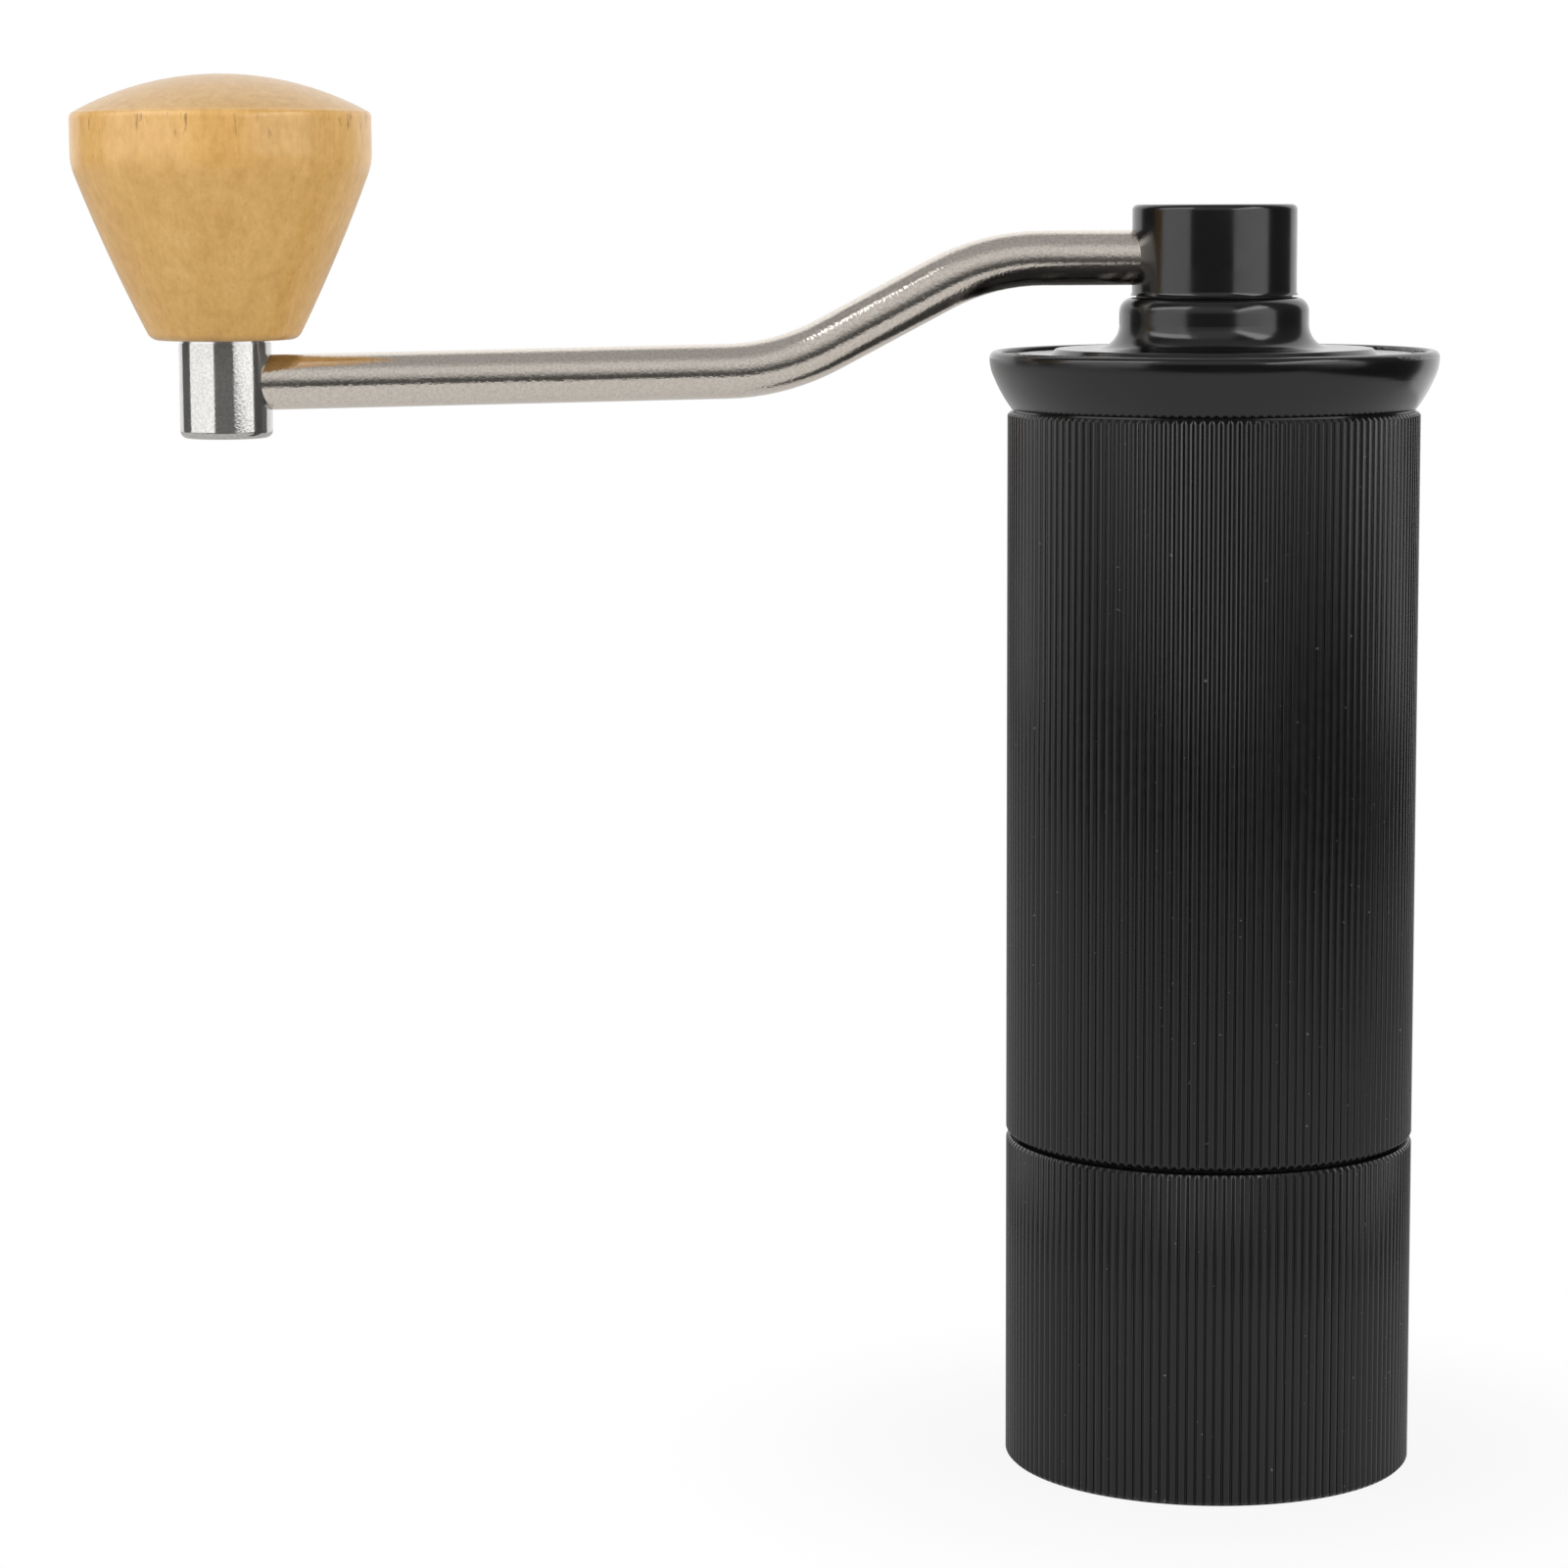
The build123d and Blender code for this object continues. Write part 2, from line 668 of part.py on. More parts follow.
def make_inner_burr():
    """Cone with spiral breaker vanes above a band of fine teeth, bored for the shaft and spring."""
    band = []
    for share in band_shares:
        height = blend_between(burr_foot, burr_band_top, share)
        tip = burr_radius(height)
        band.append(toothed_ring(height, tip, tip - fine_tooth_depth, fine_teeth, share * fine_twist,
                                 fine_tooth_shape))
    vanes = []
    for step in range(vane_steps + 1):
        share = step / vane_steps
        height = blend_between(burr_band_top, burr_top, share)
        tip = burr_radius(height) - fine_tooth_depth * (1 - share)
        depth = blend_between(fine_tooth_depth, vane_depth, min(1, 2 * share))
        vanes.append(toothed_ring(height, tip, tip - depth, vane_count, share * vane_twist, vane_shape))
    burr = skinned(band) + skinned(vanes)
    burr -= flatted_rod(shaft_radius + running_gap, flats_half_width + running_gap,
                        burr_foot - overcut, burr_top)
    return burr - rod(spring_pocket_radius, spring_pocket_floor, burr_top + overcut)


def make_outer_burr():
    """Ring with fine teeth round its foot and wide slanting flutes above them."""
    ring = rod(seat_radius - fit_gap, burr_ring_foot, burr_ring_top)
    band = []
    for share in band_shares:
        height = blend_between(burr_ring_foot - burr_end_overcut, burr_band_top, share)
        tip = burr_radius(height) + burr_gap + band_relief * share
        band.append(toothed_ring(height, tip, tip + fine_tooth_depth, fine_teeth, -share * fine_twist,
                                 fine_tooth_shape))
    band_radius = burr_band_radius + burr_gap + band_relief
    flutes = []
    for step in range(flute_steps + 1):
        share = step / flute_steps
        height = blend_between(burr_band_top, burr_ring_top + burr_end_overcut, share)
        tip = blend_between(band_radius, mouth_radius, share)
        flutes.append(toothed_ring(height, tip + flute_depth * share + mouth_relief, tip, flute_count,
                                   -share * flute_twist, flute_shape))
    return ring - skinned(band) - skinned(flutes)


def make_burr_nut():
    """Threaded ring with four spanner slots that holds the outer burr up."""
    nut = tube(seat_radius - fit_gap, burr_foot_radius + 2 * burr_gap, burr_nut_foot, burr_ring_foot)
    slot = Pos(seat_radius, 0, burr_nut_foot) * Box(2 * burr_nut_slot, burr_nut_slot, burr_nut_slot)
    for turn in range(burr_nut_slots):
        nut -= Rot(0, 0, 360 * (turn + 0.5) / burr_nut_slots) * slot
    return nut


def make_spring_washer():
    """Seat of the spring, against the lower inner race."""
    top = lower_bearing_foot
    return tube(spring_washer_radius, shaft_radius + running_gap, top - spring_washer_thickness, top)


def make_burr_spring():
    """Compression spring of square wire, between the washer and the pocket of the inner burr."""
    low = spring_pocket_floor + spring_wire / 2 + fit_gap
    high = lower_bearing_foot - spring_washer_thickness - spring_wire / 2 - fit_gap
    path = Helix((high - low) / spring_turns, high - low, spring_radius, center=(0, 0, low))
    section = Plane(origin=path @ 0, z_dir=path % 0, x_dir=(1, 0, 0)) * Rectangle(spring_wire, spring_wire)
    return sweep(section, path=path, is_frenet=True)


def make_click_plate():
    """Plate under the inner burr with a ring of detents."""
    plate = tube(click_plate_radius, shaft_radius + click_bore_gap, click_plate_foot, burr_foot)
    for click in range(click_count):
        x, y = polar(click_circle_radius, 360 * click / click_count)
        plate -= Pos(x, y, 0) * rod(click_hole_radius, click_plate_foot - overcut,
                                  click_plate_foot + click_hole_depth)
    return plate


def make_adjuster_dial():
    """Notched dial on the threaded foot of the shaft, with pockets for the detent balls."""
    dial = tube(dial_radius, thread_core_radius + running_gap, dial_foot, dial_top)
    for notch in range(dial_notch_count):
        x, y = polar(dial_radius, 360 * (notch + 0.5) / dial_notch_count)
        dial -= Pos(x, y, 0) * rod(dial_notch_radius, dial_foot - overcut, dial_top + overcut)
    for x in (-click_circle_radius, click_circle_radius):
        dial -= Pos(x, 0, 0) * rod(click_ball_radius + fit_gap, dial_top - click_pocket_depth,
                                  dial_top + overcut)
    return dial


def make_click_balls():
    """Detent balls in the dial, one each side of the shaft."""
    height = click_plate_foot - running_gap - click_ball_radius
    return Part() + [Pos(x, 0, height) * Sphere(click_ball_radius)
                     for x in (-click_circle_radius, click_circle_radius)]


# ---- Nodes ----------------------------------------------------------------------------------

nodes = {
    "grounds_cup": make_grounds_cup(),
    "cup_seal": make_cup_seal(),
    "barrel": make_barrel(),
    "hopper_collar": make_hopper_collar(),
    "lid": make_lid(),
    "lid_seal": make_lid_seal(),
    "lid_bush": make_lid_bush(),
    "crank_hub": make_crank_hub(),
    "hub_clip": make_hub_clip(),
    "drive_socket": make_drive_socket(),
    "crank_arm": make_crank_arm(),
    "crank_post": make_crank_post(),
    "knob_washer": make_knob_washer(),
    "knob_spindle": make_knob_spindle(),
    "knob_clip": make_knob_clip(),
    "knob_bush": make_knob_bush(),
    "knob": make_knob(),
    "drive_shaft": make_drive_shaft(),
    "shaft_clips": make_shaft_clips(),
    "shaft_end_clip": make_shaft_end_clip(),
    "upper_bearing_bracket": make_upper_bracket(),
    "bracket_ring": make_bracket_ring(),
    "lower_bearing_bracket": make_lower_bracket(),
    "inner_burr": make_inner_burr(),
    "outer_burr": make_outer_burr(),
    "burr_retaining_nut": make_burr_nut(),
    "spring_washer": make_spring_washer(),
    "burr_spring": make_burr_spring(),
    "click_plate": make_click_plate(),
    "adjuster_dial": make_adjuster_dial(),
    "click_balls": make_click_balls(),
}
for level, bearing_foot in (("upper", upper_bearing_foot), ("lower", lower_bearing_foot)):
    nodes[level + "_bearing_outer_race"] = make_outer_race(bearing_foot)
    nodes[level + "_bearing_inner_race"] = make_inner_race(bearing_foot)
    nodes[level + "_bearing_cage"] = make_cage(bearing_foot)
    nodes[level + "_bearing_balls"] = make_balls(bearing_foot)

os.makedirs("parts", exist_ok=True)
for name, shape in nodes.items():
    export_step(shape, f"parts/{name}.step")
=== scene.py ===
import json
import math

import bmesh
import bpy
from mathutils import Euler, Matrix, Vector


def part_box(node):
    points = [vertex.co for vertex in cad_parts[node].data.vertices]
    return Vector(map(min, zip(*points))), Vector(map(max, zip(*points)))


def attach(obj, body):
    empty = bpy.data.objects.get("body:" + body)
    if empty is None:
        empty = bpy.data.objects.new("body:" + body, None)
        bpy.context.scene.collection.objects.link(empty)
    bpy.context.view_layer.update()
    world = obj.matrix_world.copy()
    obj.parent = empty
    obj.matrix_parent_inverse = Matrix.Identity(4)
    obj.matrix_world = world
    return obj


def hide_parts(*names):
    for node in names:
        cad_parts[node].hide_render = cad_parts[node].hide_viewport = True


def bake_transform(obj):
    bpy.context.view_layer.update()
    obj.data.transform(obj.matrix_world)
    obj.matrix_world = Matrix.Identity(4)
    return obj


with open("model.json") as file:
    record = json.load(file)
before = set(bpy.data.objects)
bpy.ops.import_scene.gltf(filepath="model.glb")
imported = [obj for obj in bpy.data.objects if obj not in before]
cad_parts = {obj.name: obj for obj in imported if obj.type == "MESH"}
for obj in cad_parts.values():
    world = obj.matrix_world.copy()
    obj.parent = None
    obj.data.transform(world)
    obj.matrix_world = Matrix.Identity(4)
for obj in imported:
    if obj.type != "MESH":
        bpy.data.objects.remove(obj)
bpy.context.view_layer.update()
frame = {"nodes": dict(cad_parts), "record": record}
MM = 0.001


# ---- Camera ---------------------------------------------------------------------------------

CAMERA_PLACE = (-84.49 * MM, -571.31 * MM, 162.32 * MM)
# Angles in degrees: downwards, to the right and about the line of sight.
CAMERA_PITCH = 7.397
CAMERA_HEADING = 3.0
CAMERA_ROLL = -0.258
CAMERA_LENS = 104.21
SENSOR_WIDTH = 36.0


def make_camera():
    """Long lens, looking slightly down at the grinder."""
    camera = bpy.data.objects.new("camera", bpy.data.cameras.new("camera"))
    bpy.context.scene.collection.objects.link(camera)
    camera.data.sensor_width = SENSOR_WIDTH
    camera.data.lens = CAMERA_LENS
    camera.data.clip_start = 0.01
    camera.data.clip_end = 20.0
    camera.location = CAMERA_PLACE
    level = Euler((math.radians(90 - CAMERA_PITCH), 0, math.radians(-CAMERA_HEADING)))
    roll = Euler((0, 0, math.radians(CAMERA_ROLL)))
    camera.rotation_euler = (level.to_matrix() @ roll.to_matrix()).to_euler()
    bpy.context.scene.camera = camera


# ---- Shader building ------------------------------------------------------------------------

# A Mix node has a factor, two inputs and a result for each kind of data, all with the same
# names. These are the numbers of the sockets for colours.
MIX_FACTOR = 0
MIX_FIRST = 6
MIX_SECOND = 7
MIX_RESULT = 2
# Most of a noise's values lie in this range.
USUAL = (0.3, 0.7)


def grey(level):
    """Neutral colour with alpha."""
    return (level, level, level, 1)


class Tree:
    """Short calls that add nodes to a material's or a world's node tree."""

    def __init__(self, tree):
        self.tree = tree

    def add(self, kind, inputs=None, **settings):
        """New node. settings are its properties; inputs gives sockets a value or a link."""
        node = self.tree.nodes.new(kind)
        for key, value in settings.items():
            setattr(node, key, value)
        for key, value in (inputs or {}).items():
            self.feed(node, key, value)
        return node

    def feed(self, node, socket, value):
        """Sets a socket, or links it if the value is another node's output."""
        if isinstance(value, bpy.types.NodeSocket):
            self.tree.links.new(value, node.inputs[socket])
        else:
            node.inputs[socket].default_value = value

    def math(self, operation, *values):
        """Result of a Math node."""
        return self.add("ShaderNodeMath", dict(enumerate(values)), operation=operation).outputs[0]

    def place(self, stretch=(1, 1, 1)):
        """Object coordinates in metres. A factor below 1 makes a pattern longer along its axis."""
        coordinates = self.add("ShaderNodeTexCoord").outputs["Object"]
        mapping = self.add("ShaderNodeMapping", {"Vector": coordinates, "Scale": stretch})
        return mapping.outputs["Vector"]

    def noise(self, vector, scale, detail=2.0, roughness=0.5):
        """Noise value from 0 to 1. Its grains are about 1 / scale metres wide."""
        inputs = {"Vector": vector, "Scale": scale, "Detail": detail, "Roughness": roughness}
        return self.add("ShaderNodeTexNoise", inputs).outputs["Fac"]

    def fit(self, value, low, high, to_low=0.0, to_high=1.0, kind="LINEAR"):
        """Value mapped from one range to another, and held at its ends."""
        inputs = {"Value": value, "From Min": low, "From Max": high, "To Min": to_low, "To Max": to_high}
        return self.add("ShaderNodeMapRange", inputs, interpolation_type=kind).outputs["Result"]

    def ramp(self, value, *stops):
        """Colour ramp; stops are (position, colour)."""
        node = self.add("ShaderNodeValToRGB", {"Fac": value})
        elements = node.color_ramp.elements
        while len(elements) < len(stops):
            elements.new(0.5)
        for element, (position, colour) in zip(elements, stops):
            element.position = position
            element.color = (*colour, 1)
        return node.outputs["Color"]

    def mix(self, share, first, second, blend="MIX"):
        """Mixed colour."""
        node = self.add("ShaderNodeMix", data_type="RGBA", blend_type=blend)
        self.feed(node, MIX_FACTOR, share)
        self.feed(node, MIX_FIRST, first)
        self.feed(node, MIX_SECOND, second)
        return node.outputs[MIX_RESULT]

    def mix_shaders(self, share, first, second):
        """Mixed shader."""
        return self.add("ShaderNodeMixShader", {0: share, 1: first, 2: second}).outputs[0]

    def bump(self, height, distance, strength, normal=None):
        """Normal bumped by a height; distance is in metres."""
        inputs = {"Height": height, "Distance": distance, "Strength": strength}
        if normal is not None:
            inputs["Normal"] = normal
        return self.add("ShaderNodeBump", inputs).outputs["Normal"]


class Finish(Tree):
    """A material with one Principled shader."""

    def __init__(self, name, **constants):
        self.material = bpy.data.materials.new(name)
        self.material.use_nodes = True
        super().__init__(self.material.node_tree)
        self.principled = self.tree.nodes["Principled BSDF"]
        for socket, value in constants.items():
            self.set(socket.replace("_", " "), value)

    def set(self, socket, value):
        """Sets or links a socket of the Principled shader."""
        if isinstance(value, tuple) and len(value) == 3:
            value = (*value, 1)
        self.feed(self.principled, socket, value)


# ---- Materials ------------------------------------------------------------------------------

# Noise values between which a speck of dust fades in.
SPECK = (0.86, 0.88)
SPECK_COLOUR = grey(0.10)
# Noise values of the darkest and lightest grains of the steel.
STEEL_GRAIN = (0.35, 0.65)

# Grains of the wood: stretch, scale, detail, roughness, and share in the tone. The fibres are
# the first, since they also give the relief.
WOOD_FIBRES = ((1, 1, 0.08), 2300, 3.0, 0.6, 0.12)
WOOD_STREAKS = ((1, 1, 0.12), 520, 2.0, 0.5, 0.13)
WOOD_CLOUDS = ((1, 1, 0.6), 130, 3.0, 0.55, 0.22)
WOOD_LAYERS = ((1, 0.35, 0.1), 75, 2.0, 0.5, 0.17)
WOOD_MOTTLE = ((1, 1, 0.7), 850, 4.0, 0.65, 0.3)
# Colours of the wood by tone.
WOOD_COLOURS = ((0.25, (0.62, 0.335, 0.083)), (0.5, (0.71, 0.405, 0.115)), (0.75, (0.79, 0.48, 0.17)))
# Noise values between which a pore or a torn fibre appears, and how strong it is at each.
PORES = (0.64, 0.74, 0.0, 0.3)
PORE_COLOUR = (0.42, 0.21, 0.06, 1)
TORN_GRAIN = (0.6, 0.7, 0.0, 0.9)
TORN_COLOUR = (0.33, 0.17, 0.045, 1)
# Heights between which torn grain fades in and out below the knob's ridge, in metres.
TORN_GRAIN_FOOT = (0.1690, 0.1705)
TORN_GRAIN_TOP = (0.1726, 0.1722)
# Heights between which the knob's side gives way to painted shade on its dome, darker and cooler, in
# metres.
DOME_SHADE_HEIGHTS = (0.1724, 0.1732)
DOME_SHADE_TINT = (0.78, 0.80, 0.88, 1)


def ribbed_black():
    """Black coating on metal, with a fine tooth and a few pale specks of dust."""
    s = Finish("ribbed_black", IOR=1.5)
    place = s.place()
    specks = s.fit(s.noise(place, 1900, 0.0), *SPECK)
    patches = s.noise(place, 60, 3.0)
    black = s.ramp(patches, (USUAL[0], (0.003, 0.003, 0.0033)), (USUAL[1], (0.0045, 0.0045, 0.005)))
    s.set("Base Color", s.mix(specks, black, SPECK_COLOUR))
    s.set("Roughness", s.fit(s.noise(place, 700, 3.0), *USUAL, 0.2, 0.27))
    s.set("Normal", s.bump(s.noise(place, 4000), 0.000004, 0.6))
    return s.material


def satin_black():
    """Smooth black coating with a satin gloss."""
    s = Finish("satin_black", Base_Color=(0.0025, 0.0025, 0.003), IOR=1.54)
    place = s.place()
    s.set("Roughness", s.fit(s.noise(place, 350, 3.0), *USUAL, 0.15, 0.21))
    s.set("Normal", s.bump(s.noise(place, 2200), 0.000004, 0.5))
    return s.material


def polished_steel():
    """Polished stainless steel with faint turning lines and a fine grain."""
    s = Finish("polished_steel", Metallic=0.9)
    grain = s.noise(s.place(), 3200, 2.0, 0.6)
    dark, light = STEEL_GRAIN
    s.set("Base Color", s.ramp(grain, (dark, (0.47, 0.46, 0.445)), (light, (0.59, 0.58, 0.565))))
    lines = s.noise(s.place((1, 1, 60)), 100, 3.0)
    s.set("Roughness", s.fit(lines, *USUAL, 0.07, 0.13))
    s.set("Normal", s.bump(grain, 0.000009, 0.8))
    return s.material


def bar_steel():
    """Bright-drawn stainless bar with a slight orange peel."""
    s = Finish("bar_steel", Metallic=1.0)
    peel = s.noise(s.place(), 2800, 2.0, 0.6)
    drawn = s.noise(s.place((0.04, 1, 1)), 2500)
    dark, light = STEEL_GRAIN
    s.set("Base Color", s.ramp(peel, (dark, (0.64, 0.59, 0.53)), (light, (0.76, 0.70, 0.63))))
    s.set("Roughness", s.fit(drawn, *USUAL, 0.08, 0.15))
    s.set("Normal", s.bump(peel, 0.00004, 0.8, s.bump(drawn, 0.000004, 0.5)))
    return s.material


def plain_metal(name, colour, roughness):
    """Machined metal for the inner pieces."""
    s = Finish(name, Base_Color=colour, Metallic=1.0)
    lines = s.noise(s.place((1, 1, 8)), 600, 3.0)
    s.set("Roughness", s.fit(lines, *USUAL, roughness * 0.75, roughness * 1.25))
    s.set("Normal", s.bump(lines, 0.000008, 0.5))
    return s.material


def plain_black(name, roughness, colour):
    """Moulded black rubber or plastic."""
    s = Finish(name, Base_Color=colour)
    grain = s.noise(s.place(), 1800, 3.0)
    s.set("Roughness", s.fit(grain, *USUAL, roughness * 0.85, roughness * 1.15))
    s.set("Normal", s.bump(grain, 0.00002, 0.5))
    return s.material


def wood():
    """Varnished pale hardwood: upright fibres and soft clouds, torn grain below the ridge and
    painted shade, darker and cooler, on the dome."""
    s = Finish("wood", IOR=1.5, Coat_Weight=0.5, Coat_Roughness=0.2, Roughness=0.5)
    grains = []
    tone = 0.0
    for stretch, scale, detail, roughness, share in (WOOD_FIBRES, WOOD_STREAKS, WOOD_CLOUDS, WOOD_LAYERS,
                                                     WOOD_MOTTLE):
        grains.append(s.fit(s.noise(s.place(stretch), scale, detail, roughness), *USUAL))
        tone = s.math("MULTIPLY_ADD", grains[-1], share, tone)
    pores = s.fit(s.noise(s.place((1, 1, 0.35)), 1900, 2.0, 0.6), *PORES)
    colour = s.mix(pores, s.ramp(tone, *WOOD_COLOURS), PORE_COLOUR)
    height = s.add("ShaderNodeSeparateXYZ", {0: s.place()}).outputs["Z"]
    near_ridge = s.math("MULTIPLY", s.fit(height, *TORN_GRAIN_FOOT), s.fit(height, *TORN_GRAIN_TOP))
    torn = s.fit(s.noise(s.place((1, 1, 0.2)), 1350, 3.0, 0.6), *TORN_GRAIN)
    colour = s.mix(s.math("MULTIPLY", torn, near_ridge), colour, TORN_COLOUR)
    # Painted shade: the dome above the ridge is darkened and cooled, as if less light fell on it from
    # above.
    s.set("Base Color", s.mix(s.fit(height, *DOME_SHADE_HEIGHTS), colour, DOME_SHADE_TINT, "MULTIPLY"))
    s.set("Normal", s.bump(grains[0], 0.000008, 0.5))
    return s.material


# ---- Light and stage ------------------------------------------------------------------------

# Brightness is 1 where a surface or a lamp looks white, and lengths here are in metres.
# The room in front of the object and beside it: (sine of the angle of height, brightness).
FRONT_ROOM = ((-0.14, 0.09), (0.0, 0.155), (0.15, 0.44), (0.42, 0.72), (0.68, 0.72), (0.87, 0.53))
SIDE_ROOM = ((-0.14, 0.06), (0.0, 0.11), (0.3, 0.14), (0.7, 0.18))
BACKDROP = 1.15
CEILING = 0.42
# Degrees from the front, to the right, between which the front gives way to the sides and the
# sides to the backdrop.
SIDE_LEFT = (-54, -44)
SIDE_RIGHT = (18, 28)
BACKDROP_LEFT = (-134, -129)
BACKDROP_RIGHT = (122, 127)
# Sines of the angles of height between which the walls give way to the ceiling.
CEILING_EDGE = (0.75, 0.95)
# Extra brightness low on the right. It is there for diffuse rays only, so no gloss shows it.
FILL = 0.6
FILL_EDGE = (0.4, 0.6)
FILL_TURN = (0, 60)

# Both softboxes have a plain band below and a bright one above.
BAND_EDGE = 0.40
SOFTBOX_TOP = 0.64
PLAIN_BAND = 1.6
BRIGHT_BAND = 4.0
# A softbox: both ends on the floor plan, the height of its foot, and its share of the brightness.
SOFTBOX_LEFT = ((-0.26, -0.29), (-0.80, 0.06), 0.080, 0.95)
SOFTBOX_RIGHT = ((0.36, -1.10), (0.36, -0.125), 0.095, 1.07)

TABLE_FRONT = -0.38
TABLE_BACK = 6.0
TABLE_LEFT = -1.0
TABLE_RIGHT = 0.3
TABLE_COLOUR = (0.5, 0.5, 0.5)
TABLE_ROUGHNESS = 0.9
# Distances between which the shadow fades out, and how see-through the table is at each.
SHADOW_FADE = (0.03, 0.08, 0.9, 1.0)
# Share and colour of the light that the table gives off towards glossy surfaces.
TABLE_GLOW = 0.48
TABLE_GLOW_COLOUR = (0.94, 0.92, 0.91, 1)


def make_world():
    """White for the camera. All other rays see a studio: a white backdrop behind the object and
    a darker room in front of it, with a fill on the right for diffuse rays."""
    world = bpy.data.worlds.new("studio")
    bpy.context.scene.world = world
    world.use_nodes = True
    w = Tree(world.node_tree)
    room = w.tree.nodes["Background"]
    way = w.add("ShaderNodeSeparateXYZ", {0: w.add("ShaderNodeTexCoord").outputs["Generated"]})
    upwards = way.outputs["Z"]
    turn = w.math("ARCTAN2", way.outputs["X"], w.math("MULTIPLY", way.outputs["Y"], -1.0))
    degrees = w.math("MULTIPLY", turn, math.degrees(1))
    behind = w.math("MAXIMUM", w.fit(degrees, *BACKDROP_LEFT, 1.0, 0.0), w.fit(degrees, *BACKDROP_RIGHT))
    beside = w.math("MAXIMUM", w.fit(degrees, *SIDE_LEFT, 1.0, 0.0), w.fit(degrees, *SIDE_RIGHT))
    height = w.fit(upwards, -1, 1)
    front, side = (w.ramp(height, *(((sine + 1) / 2, (level,) * 3) for sine, level in levels))
                   for levels in (FRONT_ROOM, SIDE_ROOM))
    walls = w.mix(behind, w.mix(beside, front, side), grey(BACKDROP))
    walls = w.mix(w.fit(upwards, *CEILING_EDGE, kind="SMOOTHSTEP"), walls, grey(CEILING))
    path = w.add("ShaderNodeLightPath")
    low_right = w.math("MULTIPLY", w.fit(upwards, *FILL_EDGE, 1.0, 0.0), w.fit(degrees, *FILL_TURN))
    filled = w.math("MULTIPLY", low_right, path.outputs["Is Diffuse Ray"])
    w.feed(room, "Color", w.mix(filled, walls, grey(FILL), "ADD"))
    white = w.add("ShaderNodeBackground", {"Color": grey(1), "Strength": 1.0}).outputs[0]
    mixed = w.mix_shaders(path.outputs["Is Camera Ray"], room.outputs[0], white)
    w.feed(w.tree.nodes["World Output"], "Surface", mixed)


def make_floor():
    """Table whose front edge is a little way before the object. The camera looks through it to
    the white world, so a cup that is let down below it stays in sight. Next to the object it
    keeps a faint shadow."""
    mesh = bpy.data.meshes.new("floor")
    corners = [(TABLE_LEFT, TABLE_FRONT, 0), (TABLE_RIGHT, TABLE_FRONT, 0),
               (TABLE_RIGHT, TABLE_BACK, 0), (TABLE_LEFT, TABLE_BACK, 0)]
    mesh.from_pydata(corners, [], [(0, 1, 2, 3)])
    floor = bpy.data.objects.new("floor", mesh)
    bpy.context.scene.collection.objects.link(floor)
    s = Finish("floor", Base_Color=TABLE_COLOUR, Roughness=TABLE_ROUGHNESS)
    distance = s.add("ShaderNodeVectorMath", {0: s.place()}, operation="LENGTH").outputs["Value"]
    path = s.add("ShaderNodeLightPath")
    seen = s.math("MAXIMUM", path.outputs["Is Camera Ray"], path.outputs["Is Transmission Ray"])
    through = s.math("MULTIPLY", seen, s.fit(distance, *SHADOW_FADE, "SMOOTHSTEP"))
    mirrored = s.math("MULTIPLY", path.outputs["Is Glossy Ray"], TABLE_GLOW)
    glow = s.add("ShaderNodeEmission", {"Color": TABLE_GLOW_COLOUR}).outputs[0]
    table = s.mix_shaders(mirrored, s.principled.outputs[0], glow)
    clear = s.add("ShaderNodeBsdfTransparent").outputs[0]
    s.feed(s.tree.nodes["Material Output"], "Surface", s.mix_shaders(through, table, clear))
    mesh.materials.append(s.material)


def make_softbox(name, near, far, foot, share):
    """Upright softbox between two points of the floor plan, facing the grinder."""
    bands = (foot, BAND_EDGE, PLAIN_BAND), (BAND_EDGE, SOFTBOX_TOP, BRIGHT_BAND)
    for number, (low, high, brightness) in enumerate(bands):
        middle = (low + high) / 2
        make_lamp(f"{name}_{number}", (*near, middle), (*far, middle), high - low, brightness * share)


def make_lamp(name, near, far, height, brightness):
    """Upright lamp from one end of its middle line to the other, facing the grinder."""
    near, far = Vector(near), Vector(far)
    width = (far - near).length
    lamp = bpy.data.objects.new(name, bpy.data.lights.new(name, "AREA"))
    bpy.context.scene.collection.objects.link(lamp)
    lamp.data.shape = "RECTANGLE"
    lamp.data.size = width
    lamp.data.size_y = height
    lamp.data.energy = brightness * math.pi * width * height
    lamp.location = (near + far) / 2
    facing = (far - near).cross(Vector((0, 0, 1)))
    if facing.dot(lamp.location) > 0:
        facing.negate()
    lamp.rotation_euler = facing.to_track_quat("-Z", "Y").to_euler()


# ---- Meshes from rows of points -------------------------------------------------------------

# Edges that are sharper than this stay crisp, in degrees.
SHARP_EDGE = 40


def skin(name, rows, ring):
    """Piece whose mesh joins each row of points, in millimetres, to the next. A ring joins its
    last row to its first; otherwise both ends are closed flat. Where one row has more points
    than the next, each face takes several of its edges."""
    mesh = bmesh.new()
    loops = [[mesh.verts.new(Vector(point) * MM) for point in row] for row in rows]
    followers = loops[1:] + loops[:1] if ring else loops[1:]
    for loop, after in zip(loops, followers):
        count = min(len(loop), len(after))
        for number in range(count):
            near = edge_points(loop, number, count)
            far = edge_points(after, number, count)
            mesh.faces.new(near + far[::-1])
    if not ring:
        mesh.faces.new(loops[0])
        mesh.faces.new(loops[-1])
    bmesh.ops.recalc_face_normals(mesh, faces=mesh.faces)
    data = bpy.data.meshes.new(name)
    mesh.to_mesh(data)
    mesh.free()
    data.shade_smooth()
    data.set_sharp_from_angle(angle=math.radians(SHARP_EDGE))
    piece = bpy.data.objects.new(name, data)
    bpy.context.scene.collection.objects.link(piece)
    return piece


def edge_points(loop, number, count):
    """Points of a closed loop along one of the faces that share it equally."""
    edges = len(loop) // count
    return [loop[(number * edges + k) % len(loop)] for k in range(edges + 1)]


